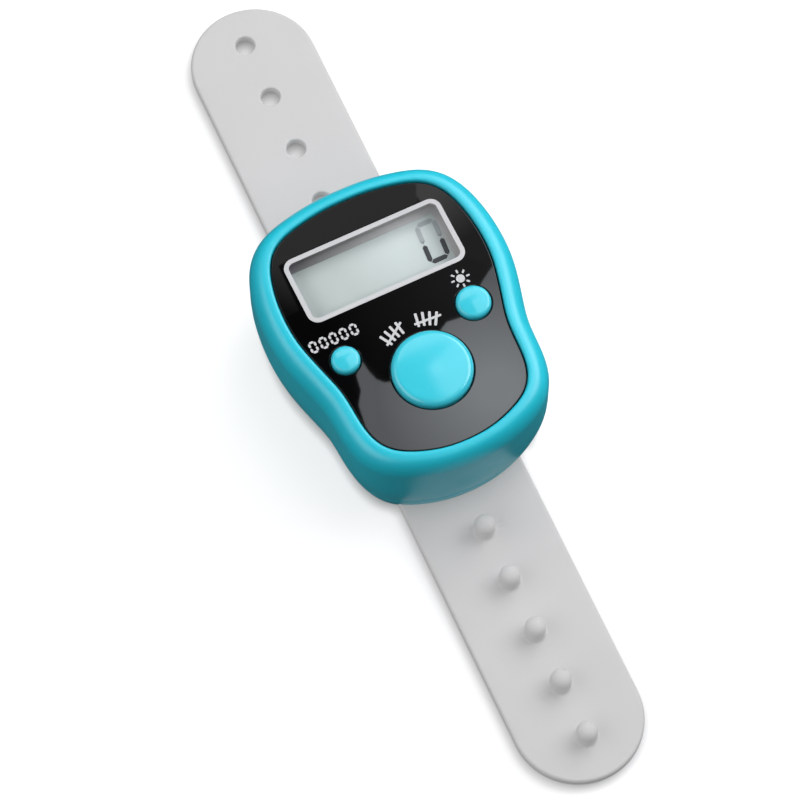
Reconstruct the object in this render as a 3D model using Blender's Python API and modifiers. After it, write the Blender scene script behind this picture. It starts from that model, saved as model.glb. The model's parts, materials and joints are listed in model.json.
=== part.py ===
"""Finger tally counter: a two-part case with three push buttons, an LCD and a silicone strap.

Lengths are written in millimetres and scaled by MM to metres. +X is to the right of the
display, +Y towards its top edge, +Z out of the face. The origin is under the middle of the
strap, on the surface that the counter lies on.
"""
import bmesh
import bpy
import math
import numpy as np
from mathutils import Matrix, Vector

MM = 0.001

# Driving dimensions, in millimetres
CASE_Y = 4.8              # the case's reference line lies this far above the strap's middle
RIM_WIDTH = 2.15          # case outline to face panel, at the top and the bottom
SIDE_WIDENING = 0.225     # share by which the rim is wider at the sides
SIDE_EASE = 0.02          # how gently that begins
WALL = 1.9                # case outline to the inner wall of the front shell
OUTLINE_STEPS = 60
PARTING_Z = 4.4
CASE_TOP_Z = 15.6
DECK_Z = (12.95, 13.85)   # plate inside the front shell that carries the face panel
PANEL_Z = (13.95, 15.2)
PANEL_GAP = 0.1

STRAP_WIDTH = 15.0
STRAP_THICK = 1.2
STRAP_Z = 0.8             # underside of the strap
STRAP_ENDS = (-51.9, 51.9)
STRAP_TIP = 7.5           # length of each rounded tip
STRAP_X = -0.28           # the strap lies a little askew in its channel
STRAP_SKEW = 1.35         # degrees, clockwise
HOLE_PITCH = 7.42
FIRST_HOLE_Y = 24.9
HOLE_COUNT = 4
HOLE_RADIUS = 1.15
STUD_PITCH = 6.68
FIRST_STUD_Y = -20.1
STUD_COUNT = 5
STUD_RADIUS = 1.25
STUD_HEIGHT = 2.6
ARM_ROOTS = (-17.2, 21.4)  # first bends of the lower and the upper arm
SEGMENT_GAP = 0.2

CHANNEL_HALF = 8.15       # strap channel in the back cover
CHANNEL_Z = 2.15
BACK_PLATE_Z = 4.0
BAR_TOP_Z = 0.65
BAR_LENGTH = 2.0
BAR_Y = (-8.7, 13.7)      # middles of the two strap bars

WINDOW_SIZE = (19.2, 8.2)
WINDOW_Y = 9.9
WINDOW_CORNER = 1.2
LCD_SIZE = (20.6, 9.6)
LCD_Y = 9.9

COUNT_XY = (0.0, -4.9)
COUNT_RADIUS = 4.6
RESET_XY = (-8.18, 0.28)
RESET_RADIUS = 1.64
LIGHT_XY = (7.7, 0.4)
LIGHT_RADIUS = 2.0
BUTTON_GAP = 0.12
FLANGE_Z = (12.08, 12.85)
FLANGE_WIDTH = 0.8
COUNT_TOP_Z = 16.4
SMALL_TOP_Z = 16.0

BOARD_Z = (9.9, 10.7)
SWITCH_TOP_Z = 11.65
PLUNGER_Z = (11.35, 12.0)
CELL_Y = 2.7
CELL_RADIUS = 5.8
CELL_HEIGHT = 3.05
CELL_Z = (3.36, 6.49)     # undersides of the two cells
COVER_SIZE = (13.4, 16.0)
COVER_Y = 1.5
COVER_Z = (2.2, 3.0)
COVER_SCREW_XY = (0.0, -5.0)
CASE_SCREWS = ((-5.5, 16.3), (5.5, 16.3), (-6.0, -11.5), (6.0, -11.5))
BOSS_RADIUS = 1.35

PARTS = "finger_tally_counter"
CUTTERS = "cutters"


# ---------------------------------------------------------------- scene, materials, helpers

def clear_scene():
    for item in list(bpy.data.objects):
        bpy.data.objects.remove(item, do_unlink=True)
    for name in (PARTS, CUTTERS):
        collection = bpy.data.collections.get(name) or bpy.data.collections.new(name)
        if name not in bpy.context.scene.collection.children:
            bpy.context.scene.collection.children.link(collection)


def material(name, colour, roughness=0.4, metallic=0.0, alpha=1.0):
    made = bpy.data.materials.get(name) or bpy.data.materials.new(name)
    made.use_nodes = True
    shader = made.node_tree.nodes["Principled BSDF"]
    shader.inputs["Base Color"].default_value = (*colour, 1.0)
    shader.inputs["Roughness"].default_value = roughness
    shader.inputs["Metallic"].default_value = metallic
    shader.inputs["Alpha"].default_value = alpha
    return made


def teal():
    return material("teal_plastic", (0.10, 0.60, 0.66), 0.3)


def silicone():
    return material("grey_silicone", (0.60, 0.60, 0.62), 0.5)


def steel():
    return material("steel", (0.62, 0.62, 0.64), 0.3, 1.0)


def black_plastic():
    return material("black_plastic", (0.02, 0.02, 0.02), 0.5)


def clear_glass():
    return material("display_glass", (0.70, 0.76, 0.74), 0.1, 0.0, 0.5)


def new_object(name, mesh_data, finish=None, cutter=False):
    made = bpy.data.objects.new(name, mesh_data)
    bpy.data.collections[CUTTERS if cutter else PARTS].objects.link(made)
    if cutter:
        made.hide_render = True
        made.display_type = "WIRE"
    elif finish:
        mesh_data.materials.append(finish)
    return made


def object_from_bmesh(name, mesh, finish=None, cutter=False, at=(0.0, 0.0, 0.0)):
    bmesh.ops.recalc_face_normals(mesh, faces=mesh.faces)
    bmesh.ops.scale(mesh, vec=(MM, MM, MM), verts=mesh.verts)
    data = bpy.data.meshes.new(name)
    mesh.to_mesh(data)
    mesh.free()
    made = new_object(name, data, finish, cutter)
    made.location = Vector(at) * MM
    return made


def smooth(made, angle=35.0):
    made.data.shade_smooth()
    made.data.set_sharp_from_angle(angle=math.radians(angle))
    return made


def boolean(target, tool, operation):
    step = target.modifiers.new(tool.name, "BOOLEAN")
    step.operation = operation
    step.solver = "EXACT"
    step.object = tool


def cut(target, *tools):
    for tool in tools:
        boolean(target, tool, "DIFFERENCE")


def join(target, *tools):
    for tool in tools:
        boolean(target, tool, "UNION")


def bevel(target, width, segments=2, angle=40.0):
    step = target.modifiers.new("bevel", "BEVEL")
    step.width = width * MM
    step.segments = segments
    step.limit_method = "ANGLE"
    step.angle_limit = math.radians(angle)


# ---------------------------------------------------------------- basic solids

def box(name, low, high, finish=None, cutter=False):
    """A box between two corners, with its origin at its centre."""
    low, high = Vector(low), Vector(high)
    mesh = bmesh.new()
    bmesh.ops.create_cube(mesh, size=1.0, matrix=Matrix.Diagonal((*(high - low), 1.0)))
    return object_from_bmesh(name, mesh, finish, cutter, (low + high) / 2)


def cylinder(name, centre, radius, z_range, finish=None, cutter=False, top_radius=None, sides=32):
    """An upright cylinder or cone frustum between two heights."""
    mesh = bmesh.new()
    height = z_range[1] - z_range[0]
    top = radius if top_radius is None else top_radius
    bmesh.ops.create_cone(mesh, cap_ends=True, segments=sides, radius1=radius, radius2=top,
                          depth=height)
    middle = (centre[0], centre[1], (z_range[0] + z_range[1]) / 2)
    return object_from_bmesh(name, mesh, finish, cutter, middle)


def rounded_box(name, size, centre, z_range, radius, finish=None, cutter=False, steps=5):
    """An upright prism on a rectangle with rounded corners."""
    ring = []
    for corner, (sx, sy) in enumerate(((1, 1), (-1, 1), (-1, -1), (1, -1))):
        for step in range(steps + 1):
            angle = math.radians(90.0) * (corner + step / steps)
            x = sx * (size[0] / 2 - radius) + radius * math.cos(angle)
            y = sy * (size[1] / 2 - radius) + radius * math.sin(angle)
            ring.append((x, y))
    mesh = loft_mesh([(ring, 0.0), (ring, z_range[1] - z_range[0])])
    return object_from_bmesh(name, mesh, finish, cutter, (centre[0], centre[1], z_range[0]))


def loft_mesh(rings):
    """A closed solid through flat rings of equal point count, given as (points, height)."""
    mesh = bmesh.new()
    levels = [[mesh.verts.new((x, y, z)) for x, y in ring] for ring, z in rings]
    count = len(levels[0])
    for lower, upper in zip(levels, levels[1:]):
        for i in range(count):
            j = (i + 1) % count
            mesh.faces.new((lower[i], lower[j], upper[j], upper[i]))
    mesh.faces.new(list(reversed(levels[0])))
    mesh.faces.new(levels[-1])
    return mesh


def turned(name, profile, centre, finish, sides=32):
    """A solid of revolution; the profile is (radius, z), from the top on the axis downwards."""
    mesh = bmesh.new()
    verts = [mesh.verts.new((r * MM, 0.0, z * MM)) for r, z in profile]
    for first, second in zip(verts, verts[1:]):
        mesh.edges.new((first, second))
    data = bpy.data.meshes.new(name)
    mesh.to_mesh(data)
    mesh.free()
    made = new_object(name, data, finish)
    made.location = Vector((centre[0], centre[1], 0.0)) * MM
    step = made.modifiers.new("turn", "SCREW")
    step.axis = "Z"
    step.steps = sides
    step.render_steps = sides
    step.use_merge_vertices = True
    step.merge_threshold = 0.00001
    return made


# ---------------------------------------------------------------- case outline

def catmull_rom(points, steps):
    """Closed centripetal Catmull-Rom curve through complex points."""
    count = len(points)
    curve = []
    for i in range(count):
        p = [points[(i + k) % count] for k in (-1, 0, 1, 2)]
        t = [0.0]
        for first, second in zip(p, p[1:]):
            t.append(t[-1] + abs(second - first) ** 0.5)
        for s in np.arange(steps) / steps:
            u = t[1] + s * (t[2] - t[1])
            a = [(p[k] * (t[k + 1] - u) + p[k + 1] * (u - t[k])) / (t[k + 1] - t[k]) for k in range(3)]
            b = [(a[k] * (t[k + 2] - u) + a[k + 1] * (u - t[k])) / (t[k + 2] - t[k]) for k in range(2)]
            curve.append((b[0] * (t[2] - u) + b[1] * (u - t[1])) / (t[2] - t[1]))
    return np.array(curve)


def outline_series():
    """The face panel's outline as a smooth Fourier series: round top, waist, round bottom."""
    right = [(6.4, 12.5), (9.8, 11.0), (11.4, 8.0), (12.1, 4.0), (12.05, 0.0), (11.15, -4.0),
             (10.1, -8.0), (9.85, -12.0), (9.1, -15.3), (6.05, -17.65)]
    points = [complex(0, 13.25)]
    points += [complex(x, y) for x, y in right]
    points += [complex(0, -18.9)]
    points += [complex(-x, y) for x, y in reversed(right)]
    curve = catmull_rom(points, 24)
    length = np.concatenate(([0.0], np.cumsum(np.abs(np.diff(np.append(curve, curve[0]))))))
    even = np.arange(512) / 512 * length[-1]
    closed = np.append(curve, curve[0])
    evenly = np.interp(even, length, closed.real) + 1j * np.interp(even, length, closed.imag)
    series = np.fft.fft(evenly) / 512
    order = np.fft.fftfreq(512, 1 / 512)
    return series * np.exp(-(order / 22.0) ** 2), order


SERIES, ORDER = outline_series()


def outline(offset, count=OUTLINE_STEPS):
    """Points of the case outline moved outwards by offset; 0 is the case's widest outline
    and -RIM_WIDTH the face panel's."""
    turn = np.arange(count) / count * 2 * math.pi
    waves = np.exp(1j * np.outer(turn, ORDER))
    place = waves @ SERIES
    along = waves @ (1j * ORDER * SERIES)
    outwards = 1j * along / np.abs(along)
    sideways = np.sqrt(outwards.real ** 2 + SIDE_EASE) - math.sqrt(SIDE_EASE)
    moved = place + outwards * (RIM_WIDTH + offset) * (1.0 + SIDE_WIDENING * sideways)
    return [(float(p.real), float(p.imag) + CASE_Y) for p in moved]


def outline_solid(name, levels, finish=None, cutter=False):
    """A solid through case outlines given as (offset, height)."""
    mesh = loft_mesh([(outline(offset), z) for offset, z in levels])
    return object_from_bmesh(name, mesh, finish, cutter)


# ---------------------------------------------------------------- case

def screw_bores(radius, z_range, label):
    return [cylinder(f"{label}_{i}", place, radius, z_range, cutter=True, sides=20)
            for i, place in enumerate(CASE_SCREWS, 1)]


def make_front_shell():
    levels = [(-0.42, PARTING_Z + 0.1), (-0.15, 6.4), (0.0, 8.6), (0.0, 11.6), (-0.1, 13.4),
              (-0.35, 14.5), (-0.8, 15.3), (-1.35, CASE_TOP_Z), (-1.75, CASE_TOP_Z - 0.08),
              (-2.0, CASE_TOP_Z - 0.4)]
    shell = outline_solid("front_shell", levels, teal())
    cavity = outline_solid("shell_cavity", [(-WALL, 3.0), (-WALL, DECK_Z[0])], cutter=True)
    recess_edge = -RIM_WIDTH + PANEL_GAP
    recess = outline_solid("panel_recess", [(recess_edge, DECK_Z[1]), (recess_edge, 17.0)], cutter=True)
    cut(shell, cavity, recess)
    for i, place in enumerate(CASE_SCREWS, 1):
        join(shell, cylinder(f"boss_{i}", place, BOSS_RADIUS, (4.6, DECK_Z[0] + 0.3), cutter=True,
                             sides=24))
    cut(shell, *screw_bores(0.68, (4.0, 10.6), "boss_bore"))
    cut(shell, rounded_box("lcd_opening", (LCD_SIZE[0] + 0.5, LCD_SIZE[1] + 0.4), (0.0, LCD_Y),
                           (12.0, 15.0), 0.6, cutter=True))
    for label, place, radius in button_places():
        cut(shell, cylinder(f"{label}_deck_hole", place, radius + BUTTON_GAP, (12.0, 15.0),
                            cutter=True, sides=40))
    return smooth(shell)


def make_back_cover():
    levels = [(-2.7, 0.0), (-2.05, 0.25), (-1.5, 0.8), (-1.15, 1.6), (-0.75, 3.0), (-0.5, PARTING_Z)]
    cover = outline_solid("back_cover", levels, teal())
    lip = outline_solid("cover_lip", [(-WALL - 0.15, PARTING_Z - 0.6), (-WALL - 0.15, 5.6)], cutter=True)
    join(cover, lip)
    cut(cover, outline_solid("cover_pocket", [(-WALL - 1.0, BACK_PLATE_Z), (-WALL - 1.0, 6.0)],
                             cutter=True))
    join(cover, cylinder("cell_well", (0.0, CELL_Y), CELL_RADIUS + 1.1, (3.4, 8.6), cutter=True,
                         sides=40))
    cut(cover, box("strap_channel", (-CHANNEL_HALF, -30, -1), (CHANNEL_HALF, 30, CHANNEL_Z),
                   cutter=True))
    for label, y in zip(("lower", "upper"), BAR_Y):
        low = (-CHANNEL_HALF - 0.5, y - BAR_LENGTH / 2, 0.0)
        high = (CHANNEL_HALF + 0.5, y + BAR_LENGTH / 2, BAR_TOP_Z)
        join(cover, box(f"{label}_strap_bar", low, high, cutter=True))
    cut(cover, rounded_box("cover_recess", (COVER_SIZE[0] + 0.3, COVER_SIZE[1] + 0.3),
                           (0.0, COVER_Y), (1.5, COVER_Z[1] + 0.1), 1.2, cutter=True))
    cut(cover, cylinder("cell_bore", (0.0, CELL_Y), CELL_RADIUS + 0.25, (1.5, 9.5), cutter=True,
                        sides=40))
    cut(cover, cylinder("cover_screw_bore", COVER_SCREW_XY, 0.62, (2.5, 5.0), cutter=True, sides=20))
    cut(cover, *screw_bores(0.95, (2.5, 5.0), "cover_bore"))
    cut(cover, *screw_bores(1.35, (1.5, 3.1), "cover_head_bore"))
    cut(cover, *screw_bores(BOSS_RADIUS + 0.2, (4.3, 6.0), "lip_notch"))
    for side in (-1, 1):
        low = (min(side * 9.3, side * 10.9), -1.5, 1.2)
        high = (max(side * 9.3, side * 10.9), 14.0, BACK_PLATE_Z + 0.5)
        cut(cover, box(f"skirt_core_{side + 2}", low, high, cutter=True))
    return smooth(cover)


def make_battery_cover():
    cover = rounded_box("battery_cover", COVER_SIZE, (0.0, COVER_Y), COVER_Z, 1.05, teal())
    cut(cover, cylinder("cover_screw_clearance", COVER_SCREW_XY, 0.7, (1.5, 3.5), cutter=True,
                        sides=20))
    cut(cover, cylinder("cover_countersink", COVER_SCREW_XY, 1.35, (1.5, 2.7), cutter=True,
                        sides=24))
    cut(cover, box("finger_notch", (-2.5, 8.8, 1.5), (2.5, 9.25, 2.5), cutter=True))
    return cover


def make_screw(name, place, head_z, tip_z, shank, head, head_height):
    """A pan-head screw standing head down, with a cross recess in its head."""
    profile = [(0.0, tip_z), (shank * 0.55, tip_z), (shank, tip_z - 0.7), (shank, head_z + head_height),
               (head, head_z + head_height), (head, head_z + 0.18), (head * 0.72, head_z), (0.0, head_z)]
    screw = turned(name, profile, place, steel(), sides=20)
    for turn in (0, 1):
        size = (head * 0.6, 0.12) if turn else (0.12, head * 0.6)
        low = (place[0] - size[0], place[1] - size[1], head_z - 0.5)
        high = (place[0] + size[0], place[1] + size[1], head_z + 0.28)
        cut(screw, box(f"{name}_recess_{turn}", low, high, cutter=True))
    return smooth(screw)


def make_face_panel():
    edge = -RIM_WIDTH
    levels = [(edge, PANEL_Z[0]), (edge, PANEL_Z[1] - 0.2), (edge - 0.2, PANEL_Z[1])]
    finish = material("face_panel_black", (0.012, 0.013, 0.014), 0.08)
    panel = outline_solid("face_panel", levels, finish)
    cut(panel, rounded_box("window_opening", WINDOW_SIZE, (0.0, WINDOW_Y), (13.0, 16.0),
                           WINDOW_CORNER, cutter=True))
    for label, place, radius in button_places():
        cut(panel, cylinder(f"{label}_panel_hole", place, radius + BUTTON_GAP, (13.0, 16.0),
                            cutter=True, sides=40))
    return smooth(panel)


def make_display_window():
    size = (WINDOW_SIZE[0] - 0.2, WINDOW_SIZE[1] - 0.2)
    finish = material("clear_window", (0.85, 0.88, 0.88), 0.05, 0.0, 0.3)
    return rounded_box("display_window", size, (0.0, WINDOW_Y), (PANEL_Z[0], PANEL_Z[1] - 0.02),
                       WINDOW_CORNER - 0.1, finish)


# ---------------------------------------------------------------- buttons and switches

def button_places():
    return (("count", COUNT_XY, COUNT_RADIUS), ("reset", RESET_XY, RESET_RADIUS),
            ("light", LIGHT_XY, LIGHT_RADIUS))


def make_button(label, place, radius, top_z, edge, dome):
    """A domed cap with a flange under the deck; its origin is on its own axis."""
    profile = [(0.0, top_z), (radius * 0.5, top_z - dome * 0.25), (radius - edge, top_z - dome)]
    for step in (1, 2, 3):
        angle = math.radians(30 * step)
        profile.append((radius - edge + edge * math.sin(angle),
                        top_z - dome - edge + edge * math.cos(angle)))
    profile += [(radius, FLANGE_Z[1]), (radius + FLANGE_WIDTH, FLANGE_Z[1]),
                (radius + FLANGE_WIDTH, FLANGE_Z[0]), (0.0, FLANGE_Z[0])]
    return smooth(turned(f"{label}_button", profile, place, teal(), sides=36), 50.0)


def make_switch(label, place, size):
    """A low tact switch: a body with a bore, and the plunger that slides in it."""
    half = size / 2
    low = (place[0] - half, place[1] - half, BOARD_Z[1] + 0.05)
    high = (place[0] + half, place[1] + half, SWITCH_TOP_Z)
    body = box(f"{label}_switch", low, high, black_plastic())
    cut(body, cylinder(f"{label}_switch_bore", place, 0.85, (PLUNGER_Z[0] - 0.46, 13.0),
                       cutter=True, sides=20))
    cylinder(f"{label}_switch_plunger", place, 0.75, PLUNGER_Z,
             material("plunger_white", (0.8, 0.8, 0.78), 0.5), sides=20)


def make_buttons():
    make_button("count", COUNT_XY, COUNT_RADIUS, COUNT_TOP_Z, 0.55, 0.35)
    make_button("reset", RESET_XY, RESET_RADIUS, SMALL_TOP_Z, 0.4, 0.15)
    make_button("light", LIGHT_XY, LIGHT_RADIUS, SMALL_TOP_Z, 0.4, 0.18)
    make_switch("count", COUNT_XY, 4.5)
    make_switch("reset", RESET_XY, 3.0)
    make_switch("light", LIGHT_XY, 3.0)


# ---------------------------------------------------------------- display and electronics

def make_display():
    for label, z_range, depth in (("front", (12.83, 13.45), 0.0), ("back", (12.2, 12.75), 0.6)):
        low = (-LCD_SIZE[0] / 2, LCD_Y - LCD_SIZE[1] / 2 + depth, z_range[0])
        high = (LCD_SIZE[0] / 2, LCD_Y + LCD_SIZE[1] / 2, z_range[1])
        box(f"lcd_{label}_glass", low, high, clear_glass())
    box("light_guide", (-8.6, 5.9, 10.85), (8.6, 13.2, 12.1),
        material("light_guide_white", (0.82, 0.84, 0.84), 0.4))
    box("backlight_led", (8.8, 8.9, 10.8), (10.2, 10.9, 12.0),
        material("led_yellow", (0.85, 0.80, 0.45), 0.3))
    box("zebra_strip", (-8.5, 13.45, 10.8), (8.5, 14.45, 12.1),
        material("zebra_rubber", (0.25, 0.10, 0.10), 0.6))


def make_board():
    board = outline_solid("circuit_board", [(-WALL - 0.5, BOARD_Z[0]), (-WALL - 0.5, BOARD_Z[1])],
                          material("board_green", (0.03, 0.18, 0.08), 0.4))
    cut(board, *screw_bores(BOSS_RADIUS + 0.25, (9.0, 12.0), "board_notch"))
    blob = [(0.0, 9.85 - 1.3), (1.6, 9.85 - 1.15), (2.8, 9.85 - 0.6), (3.2, 9.85), (0.0, 9.85)]
    turned("chip_blob", list(reversed(blob)), (0.0, -8.0), black_plastic(), sides=24)
    box("resistor", (-4.6, -6.2, 9.35), (-3.0, -5.4, 9.85), black_plastic())
    box("capacitor", (3.4, -6.6, 9.05), (5.4, -5.3, 9.85), material("capacitor_tan", (0.5, 0.36, 0.2), 0.4))


def make_cells():
    for label, z in zip(("lower", "upper"), CELL_Z):
        cell = cylinder(f"button_cell_{label}", (0.0, CELL_Y), CELL_RADIUS, (z, z + CELL_HEIGHT),
                        steel(), sides=36)
        bevel(cell, 0.3)
    cylinder("battery_contact_negative", (0.0, CELL_Y), 4.4, (3.08, 3.28), steel(), sides=28)
    cylinder("battery_contact_positive", (0.0, CELL_Y), 4.8, (9.62, 9.82), steel(), sides=28)


# ---------------------------------------------------------------- strap

def strap_half_width(y):
    """Half width of the strap at y: constant, then an elliptical tip."""
    into_tip = abs(y) - (STRAP_ENDS[1] - STRAP_TIP)
    if into_tip <= 0:
        return STRAP_WIDTH / 2
    return STRAP_WIDTH / 2 * math.sqrt(max(0.0, 1 - (into_tip / STRAP_TIP) ** 2))


def strap_outline(y_low, y_high):
    """Flat ring of one strap segment, with the round tip where it reaches an end."""
    steps = [y_low, y_high]
    for side in (-1, 1):
        end = side * STRAP_ENDS[1]
        if y_low <= end <= y_high:
            steps = [y for y in steps if abs(y) < STRAP_ENDS[1] - STRAP_TIP]
            steps += [side * (STRAP_ENDS[1] - STRAP_TIP + STRAP_TIP * math.sin(math.radians(a)))
                      for a in range(0, 91, 9)]
    right = [(strap_half_width(y), y) for y in sorted(steps)]
    left = [(-x, y) for x, y in reversed(right) if x > 0.01]
    return right + left


def make_strap_segment(axis, name, y_low, y_high, hole_y=None, stud_y=None):
    """One stretch of the strap; its origin is on the bend nearest the case."""
    pivot = y_low if y_low > 0 else y_high
    gap = SEGMENT_GAP / 2
    low = y_low if y_low == STRAP_ENDS[0] else y_low + gap
    high = y_high if y_high == STRAP_ENDS[1] else y_high - gap
    origin_y = 0.0 if y_low < 0 < y_high else pivot
    ring = [(x, y - origin_y) for x, y in strap_outline(low, high)]
    mesh = loft_mesh([(ring, 0.0), (ring, STRAP_THICK)])
    segment = object_from_bmesh(name, mesh, silicone(), at=(0.0, origin_y, STRAP_Z))
    tools = []
    if hole_y is not None:
        tools.append(cylinder(f"{name}_hole", (0.0, hole_y), HOLE_RADIUS, (-1.0, 4.0), cutter=True,
                              sides=24))
        cut(segment, tools[-1])
    if stud_y is not None:
        top = STRAP_Z + STRAP_THICK
        tools.append(turned(f"{name}_stud", stud_profile(top), (0.0, stud_y), None, sides=24))
        make_cutter(tools[-1])
        join(segment, tools[-1])
    for item in [segment] + tools:
        item.parent = axis
    return smooth(segment)


def make_cutter(item):
    bpy.data.collections[PARTS].objects.unlink(item)
    bpy.data.collections[CUTTERS].objects.link(item)
    item.hide_render = True
    item.display_type = "WIRE"


def stud_profile(base):
    """A peg with a domed head and a foot sunk into the strap."""
    profile = []
    dome = STUD_RADIUS * 0.8
    for step in range(5):
        angle = math.radians(22.5 * step)
        profile.append((STUD_RADIUS * math.sin(angle),
                        base + STUD_HEIGHT - dome + dome * math.cos(angle)))
    return profile + [(STUD_RADIUS, base - 0.4), (0.0, base - 0.4)]


def make_strap():
    """The strap's stretches, held by an empty that lies on the strap's own axis."""
    axis = new_object("strap_axis", None)
    axis.location = Vector((STRAP_X, 0.0, 0.0)) * MM
    axis.rotation_euler = (0.0, 0.0, -math.radians(STRAP_SKEW))
    upper_bends = [ARM_ROOTS[1]] + [FIRST_HOLE_Y + HOLE_PITCH * (i + 0.5) for i in range(HOLE_COUNT - 1)]
    upper_bends.append(STRAP_ENDS[1])
    lower_bends = [ARM_ROOTS[0]] + [FIRST_STUD_Y - STUD_PITCH * (i + 0.5) for i in range(STUD_COUNT - 1)]
    lower_bends.append(STRAP_ENDS[0])
    make_strap_segment(axis, "strap_middle", lower_bends[0], upper_bends[0])
    for i in range(HOLE_COUNT):
        make_strap_segment(axis, f"strap_upper_{i + 1}", upper_bends[i], upper_bends[i + 1],
                           hole_y=FIRST_HOLE_Y + HOLE_PITCH * i)
    for i in range(STUD_COUNT):
        make_strap_segment(axis, f"strap_lower_{i + 1}", lower_bends[i + 1], lower_bends[i],
                           stud_y=FIRST_STUD_Y - STUD_PITCH * i)


# ---------------------------------------------------------------- assembly

def main():
    clear_scene()
    make_front_shell()
    make_back_cover()
    make_battery_cover()
    make_screw("battery_cover_screw", COVER_SCREW_XY, 2.22, 3.9, 0.5, 1.2, 0.38)
    for i, place in enumerate(CASE_SCREWS, 1):
        make_screw(f"case_screw_{i}", place, 2.35, 9.6, 0.6, 1.2, 0.55)
    make_face_panel()
    make_display_window()
    make_buttons()
    make_display()
    make_board()
    make_cells()
    make_strap()


main()
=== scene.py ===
"""Looks of the finger tally counter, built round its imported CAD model.

Lengths are in millimetres, scaled by MM to the frame's metres. Places come from the CAD
nodes' boxes and the joints. The outlines of the case and of its face are read back from
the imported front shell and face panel.
"""

import json
import math

import bmesh
import bpy
import numpy as np
from mathutils import Matrix, Vector


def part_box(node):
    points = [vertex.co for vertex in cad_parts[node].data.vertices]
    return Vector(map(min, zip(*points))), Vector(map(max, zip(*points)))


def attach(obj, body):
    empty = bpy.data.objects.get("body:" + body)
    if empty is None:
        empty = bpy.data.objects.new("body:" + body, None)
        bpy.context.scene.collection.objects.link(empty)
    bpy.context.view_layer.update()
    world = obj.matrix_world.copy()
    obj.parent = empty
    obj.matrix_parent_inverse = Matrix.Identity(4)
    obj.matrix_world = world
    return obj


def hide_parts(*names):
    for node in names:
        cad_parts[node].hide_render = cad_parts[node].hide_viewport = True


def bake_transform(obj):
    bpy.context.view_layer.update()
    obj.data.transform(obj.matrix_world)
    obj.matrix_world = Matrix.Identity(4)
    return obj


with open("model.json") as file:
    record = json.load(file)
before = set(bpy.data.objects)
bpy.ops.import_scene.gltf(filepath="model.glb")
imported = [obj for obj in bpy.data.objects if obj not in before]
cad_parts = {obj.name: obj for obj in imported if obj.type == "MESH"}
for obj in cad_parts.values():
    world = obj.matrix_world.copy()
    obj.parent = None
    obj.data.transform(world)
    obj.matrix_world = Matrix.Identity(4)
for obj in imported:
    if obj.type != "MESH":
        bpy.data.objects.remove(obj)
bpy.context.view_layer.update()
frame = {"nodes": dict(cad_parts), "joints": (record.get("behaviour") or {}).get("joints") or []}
MM = 0.001

# Camera: a long lens from high up at the lower left, without roll
CAMERA_AZIMUTH = -25.81
CAMERA_ELEVATION = 67.51
CAMERA_DISTANCE = 469.2
CAMERA_TARGET = (-3.15, -3.18, 6.0)
CAMERA_LENS = 186.8

RING_STEPS = 240          # points round the case outline
TURN_STEPS = 96           # points round a button
THROUGH = 1.0             # how far a cutting tool runs past what it cuts
OVERLAP = 0.6             # how far a joined or cut stretch starts inside the one before it

# Case
CASE_TOP_Z = 15.6
SHOULDER_Z = 12.9         # where the wall turns in to the rim
UPRIGHT_Z = 9.4           # below this the wall draws in towards the parting line
DRAW_IN = 0.46
PARTING_Z = 4.4
RIM_WIDTH = 2.15
RIM_TURN = 1.72           # width of the wall's turn in to the rim
RIM_ROUND = 0.3           # inner edge of the rim
RECESS_WIDTH = 2.05       # case outline to the wall of the panel's recess
PANEL_GAP = 0.1
DECK_THICK = 0.9
SHELL_WALL = 1.9
LIP_GAP = 0.15            # shell wall to the outside of the back cover's lip
LIP_REACH = 1.0           # shell wall to the lip's inside
LIP_TOP_Z = 5.6
CHANNEL_HALF = 8.15
CHANNEL_Z = 2.15
CHANNEL_FLARE = 0.3
BAR_TOP_Z = 0.65
BAR_HALF_LENGTH = 1.0
BAR_Y = (-8.7, 13.7)
BAR_ROOT = 0.5            # how far the bars run into the channel's walls
BAR_BEVEL = 0.18
BACK_PLATE_Z = 4.0
WELL_TOP_Z = 8.6          # round wall that holds the cells
WELL_WALL = 1.1
CELL_GAP = 0.25
LID_GAP = 0.15            # round the battery cover
LID_CORNER = 1.05
BOSS_RADIUS = 1.35
BOSS_GAP = 0.2
BOSS_BORE_TOP_Z = 10.6
BOSS_BORE = 0.68          # radii of the screws' holes
SCREW_HOLE = 0.95
SCREW_HEAD_HOLE = 1.35
LID_SCREW_HOLE = 0.62
SEAT_Z = 3.1              # what the screw heads bear on
ROOF_CUT_Z = 1.5          # in the open channel, where cuts into its roof start
HOLLOW_X = (9.3, 10.9)    # hollows in the sides of the back cover, which keep its wall even
HOLLOW_Y = (-1.5, 14.0)
HOLLOW_LOW_Z = 1.2

# Face
WINDOW_GAP = 0.1
WINDOW_CORNER = 1.1
BUTTON_GAP = 0.12
FLANGE_WIDTH = 0.8
FLANGE_THICK = 0.77
CAP_WALL = 0.9
CAP_HOLLOW = 0.9          # how deep the cap is hollow from below
STEM_RADIUS = 0.9
STEM_LENGTH = 1.5
COUNT_TOP = (0.95, 0.75, 0.24)  # a cap's rounded edge across and down, and its dome's rise
SMALL_TOP = (0.55, 0.5, 0.16)
FRAME_LINE = 0.55         # width of the printed line round the window
FRAME_REACH = 0.225       # window to the outside of that line
FRAME_CORNER = 1.3
PRINT_LIFT = 0.005        # gap between a surface and the print on it
PRINT_RISE = 0.03
MASK_OUTER = 0.08         # window to the outside and to the inside of the mask's wall
MASK_INNER = 0.02
MASK_OPENING = (17.7, 6.8)
MASK_SHIFT = (-0.14, -0.2)
DIGIT_SIZE = (2.7, 5.3)
DIGIT_STROKE = 0.56
DIGIT_SLANT = 0.08
DIGIT_SHIFT = (7.25, 0.05)

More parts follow.
